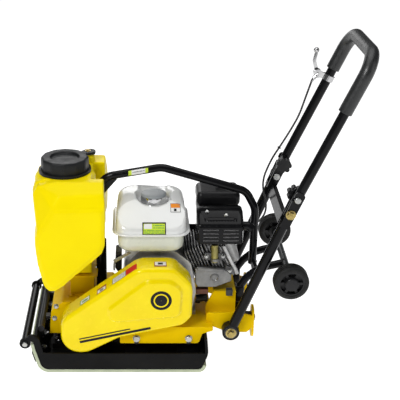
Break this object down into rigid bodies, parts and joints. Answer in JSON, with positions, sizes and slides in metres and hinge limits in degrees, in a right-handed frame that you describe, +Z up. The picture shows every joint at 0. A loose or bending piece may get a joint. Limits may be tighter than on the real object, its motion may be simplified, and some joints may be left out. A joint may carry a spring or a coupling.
{
  "type": "plate compactor",
  "caption": "Forward plate compactor: sprung steel base plate, belt-driven exciter, petrol engine, water tank, carrying frame, transport wheels and a folding U handle.",
  "frame": {"origin": "centre of the base plate's sole, on the ground", "axes": "+Z up; +X horizontally towards the operator and the handle; -Y is the left side, with the belt guard"},
  "size_m": [0.939, 0.392, 0.9145],
  "materials": {
    "black_steel": "gloss",
    "yellow_steel": "gloss",
    "yellow_plastic": "gloss",
    "black_plastic": "matte",
    "pad": "satin",
    "rubber": "matte",
    "foam": "matte",
    "tyre": "matte",
    "zinc": "satin",
    "steel": "satin",
    "chrome": "polished",
    "cast_iron": "painted",
    "aluminium": "cast",
    "white_steel": "gloss",
    "grey_plastic": "satin",
    "ceramic": "gloss"
  },
  "bodies": {
    "chassis": {"base_plate": "black_steel", "base_pad": "pad", "pad_clamp": "black_steel", "front_bar": "black_steel", "exciter_housing": "cast_iron", "exciter_covers": "cast_iron", "exciter_bearings": "steel", "v_belt": "rubber", "shock_mounts": "rubber", "engine_deck": "yellow_steel", "chassis_bolts": "zinc", "tank_support": "yellow_steel", "roll_frame": "black_steel", "wheel_arms": "black_steel", "wheel_axle": "zinc", "water_tank": "yellow_plastic", "spray_pipe": "black_plastic", "water_hose": "rubber", "water_valve": "black_plastic", "belt_guard": "yellow_steel", "crankcase": "aluminium", "cylinder": "aluminium", "rocker_cover": "aluminium", "fan_housing": "black_plastic", "fuel_tank": "white_steel", "muffler": "steel", "muffler_guard": "black_steel", "air_cleaner_base": "black_plastic", "air_cleaner_cover": "black_plastic", "carburettor": "aluminium", "spark_plug": "ceramic", "oil_plugs": "black_plastic", "engine_bolts": "zinc", "lower_handle": "black_steel", "rubber_buffers": "rubber", "frame_bolts": "zinc", "throttle_cable_lower": "rubber"},
    "handle": {"upper_handle": "black_steel", "foam_grip": "foam", "lock_bolts": "zinc", "throttle_clamp": "chrome", "throttle_cable_upper": "rubber"},
    "knob_left": {"lock_knob_left": "black_plastic"},
    "knob_right": {"lock_knob_right": "black_plastic"},
    "throttle": {"throttle_lever": "chrome"},
    "wheel_left": {"wheel_left": "black_plastic", "tyre_left": "tyre"},
    "wheel_right": {"wheel_right": "black_plastic", "tyre_right": "tyre"},
    "crank": {"crankshaft": "steel"},
    "drum": {"clutch_drum": "steel"},
    "exciter": {"exciter_shaft": "steel", "exciter_pulley": "steel"},
    "water_cap": {"water_tank_cap": "black_plastic"},
    "fuel_cap": {"fuel_cap": "grey_plastic"},
    "recoil": {"recoil_grip": "black_plastic"},
    "choke": {"choke_lever": "black_plastic"},
    "fuel_valve": {"fuel_valve_lever": "black_plastic"},
    "switch": {"engine_switch": "black_plastic"},
    "water_tap": {"water_valve_lever": "black_plastic"}
  },
  "joints": [
    {"name": "handle_fold", "type": "hinge", "parent": "chassis", "child": "handle", "pos_m": [0.451, 0, 0.474], "axis": [0, -1, 0], "range_deg": [0, 100], "deforming": ["throttle_cable_upper", "throttle_cable_lower"]},
    {"name": "knob_left_turn", "type": "hinge", "parent": "handle", "child": "knob_left", "pos_m": [0.467, -0.11, 0.515], "axis": [0, 1, 0], "continuous": true},
    {"name": "knob_right_turn", "type": "hinge", "parent": "handle", "child": "knob_right", "pos_m": [0.467, 0.11, 0.515], "axis": [0, 1, 0], "continuous": true},
    {"name": "throttle_lever_turn", "type": "hinge", "parent": "handle", "child": "throttle", "pos_m": [0.55133, 0.14, 0.778], "axis": [0, 1, 0], "range_deg": [0, 30]},
    {"name": "wheel_left_spin", "type": "hinge", "parent": "chassis", "child": "wheel_left", "pos_m": [0.461, -0.17, 0.284], "axis": [0, 1, 0], "continuous": true},
    {"name": "wheel_right_spin", "type": "hinge", "parent": "chassis", "child": "wheel_right", "pos_m": [0.461, 0.17, 0.284], "axis": [0, 1, 0], "continuous": true},
    {"name": "crank_spin", "type": "hinge", "parent": "chassis", "child": "crank", "pos_m": [0.107, 0, 0.236], "axis": [0, 1, 0], "continuous": true},
    {"name": "exciter_spin", "type": "hinge", "parent": "chassis", "child": "exciter", "pos_m": [-0.112, 0, 0.117], "axis": [0, 1, 0], "continuous": true},
    {"name": "drum_spin", "type": "hinge", "parent": "chassis", "child": "drum", "pos_m": [0.107, -0.137, 0.236], "axis": [0, 1, 0], "continuous": true},
    {"name": "water_cap_turn", "type": "hinge", "parent": "chassis", "child": "water_cap", "pos_m": [-0.153, 0, 0.57], "axis": [0, 0, 1], "range_deg": [0, 270]},
    {"name": "fuel_cap_turn", "type": "hinge", "parent": "chassis", "child": "fuel_cap", "pos_m": [0.092, 0, 0.46], "axis": [0, 0, 1], "range_deg": [0, 90]},
    {"name": "choke_turn", "type": "hinge", "parent": "chassis", "child": "choke", "pos_m": [0.236, 0.098, 0.34], "axis": [0, 1, 0], "range_deg": [0, 50]},
    {"name": "fuel_valve_turn", "type": "hinge", "parent": "chassis", "child": "fuel_valve", "pos_m": [0.25, 0.098, 0.326], "axis": [0, 1, 0], "range_deg": [0, 60]},
    {"name": "switch_turn", "type": "hinge", "parent": "chassis", "child": "switch", "pos_m": [0.038, 0.128, 0.314], "axis": [0, 1, 0], "range_deg": [0, 60]},
    {"name": "water_tap_turn", "type": "hinge", "parent": "chassis", "child": "water_tap", "pos_m": [-0.222, 0.1, 0.138], "axis": [0, 1, 0], "range_deg": [0, 90]},
    {"name": "recoil_pull", "type": "slide", "parent": "chassis", "child": "recoil", "axis": [0, 0.6, 0.8], "range_m": [0, 0.35], "stiffness_N_per_m": 20, "springref_m": -0.1}
  ],
  "couplings": [
    {"joint": "drum_spin", "follows": "exciter_spin", "ratio": 0.63636}
  ]
}
